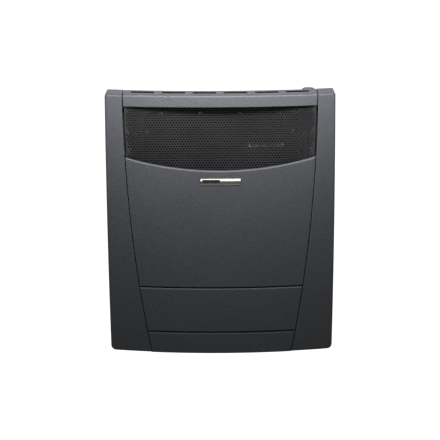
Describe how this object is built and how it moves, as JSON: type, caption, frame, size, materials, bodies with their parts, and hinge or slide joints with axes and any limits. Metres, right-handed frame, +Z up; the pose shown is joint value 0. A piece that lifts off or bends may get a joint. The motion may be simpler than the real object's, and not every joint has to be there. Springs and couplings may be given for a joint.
{
  "type": "wall mounted gas heater",
  "caption": "Wall mounted balanced flue gas convector heater with a bulged graphite casing, perforated air outlet, top knob and spark igniter.",
  "frame": {"origin": "centre of the pattern of the four wall fixing holes, on the wall plane", "axes": "+X to the viewer's right, +Y into the wall, +Z up"},
  "size_m": [0.532, 0.2284, 0.642],
  "materials": {
    "casing_paint": "satin textured graphite paint",
    "galvanised_sheet": "galvanised",
    "grille_black": "satin black, heat resistant",
    "badge_chrome": "bright",
    "badge_black": "gloss",
    "zinc_screws": "zinc plated",
    "copper_screws": "copper plated",
    "chamber_enamel": "matt heat resistant enamel",
    "gasket_fibre": "matt fibre",
    "sight_glass": "clear",
    "flue_aluminium": "mill",
    "burner_steel": "brushed",
    "brass_fittings": "machined",
    "copper_pipe": "drawn copper",
    "electrode_ceramic": "glazed ceramic",
    "valve_aluminium": "cast",
    "knob_black": "matt",
    "knob_grey": "satin",
    "pointer_white": "matt",
    "igniter_black": "matt",
    "button_red": "satin",
    "spring_steel": "drawn wire",
    "lead_insulation": "silicone sleeve"
  },
  "bodies": {
    "root": {"left_column": "casing_paint", "right_column": "casing_paint", "top_crossbar": "casing_paint", "rear_deck": "casing_paint", "front_panel": "casing_paint", "middle_panel": "casing_paint", "lower_panel": "casing_paint", "upper_rail": "galvanised_sheet", "middle_rail": "galvanised_sheet", "lower_rail": "galvanised_sheet", "outlet_grille": "grille_black", "grille_brackets": "chamber_enamel", "badge_plate": "badge_chrome", "badge_inlay": "badge_black", "rail_screws": "zinc_screws", "crossbar_screws": "zinc_screws", "casing_screws": "zinc_screws", "grille_rivets": "grille_black", "back_plate": "galvanised_sheet", "heat_shield": "chamber_enamel", "air_deflector": "chamber_enamel", "chamber_rear_shell": "chamber_enamel", "chamber_front_shell": "chamber_enamel", "chamber_gasket": "gasket_fibre", "chamber_screws": "zinc_screws", "sight_window_frame": "galvanised_sheet", "sight_window_glass": "sight_glass", "sight_window_screws": "copper_screws", "exhaust_collar": "flue_aluminium", "intake_collar": "flue_aluminium", "air_duct": "galvanised_sheet", "chamber_stand_offs": "galvanised_sheet", "burner_tube": "burner_steel", "burner_saddles": "burner_steel", "gas_injector": "brass_fittings", "pilot_bracket": "burner_steel", "pilot_burner": "brass_fittings", "thermocouple": "copper_pipe", "spark_electrode": "electrode_ceramic", "pilot_feed_plate": "galvanised_sheet", "feed_gland": "brass_fittings", "gas_valve": "valve_aluminium", "valve_bracket": "galvanised_sheet", "knob_bezel": "knob_black", "igniter_body": "igniter_black", "igniter_nut": "zinc_screws", "igniter_spring": "spring_steel", "knob_return_spring": "spring_steel", "burner_feed_pipe": "copper_pipe", "pilot_pipe": "copper_pipe", "thermocouple_lead": "copper_pipe", "igniter_lead": "lead_insulation", "inlet_pipe": "copper_pipe", "inlet_union": "brass_fittings", "pipe_clips": "galvanised_sheet"},
    "push_collar": {"push_collar": "burner_steel"},
    "knob": {"valve_spindle": "brass_fittings", "control_knob": "knob_grey", "knob_pointer": "pointer_white"},
    "button": {"igniter_button": "button_red"}
  },
  "joints": [
    {"name": "knob_push", "type": "slide", "parent": "root", "child": "push_collar", "axis": [0, 0, -1], "range_m": [0, 0.004], "stiffness_N_per_m": 600, "springref_m": -0.003, "deforming": ["knob_return_spring"]},
    {"name": "knob_turn", "type": "hinge", "parent": "push_collar", "child": "knob", "pos_m": [0.2065, -0.072, 0.29], "axis": [0, 0, 1], "range_deg": [0, 270]},
    {"name": "igniter_press", "type": "slide", "parent": "root", "child": "button", "axis": [0, 0, -1], "range_m": [0, 0.005], "stiffness_N_per_m": 400, "springref_m": -0.002, "deforming": ["igniter_spring"]}
  ]
}
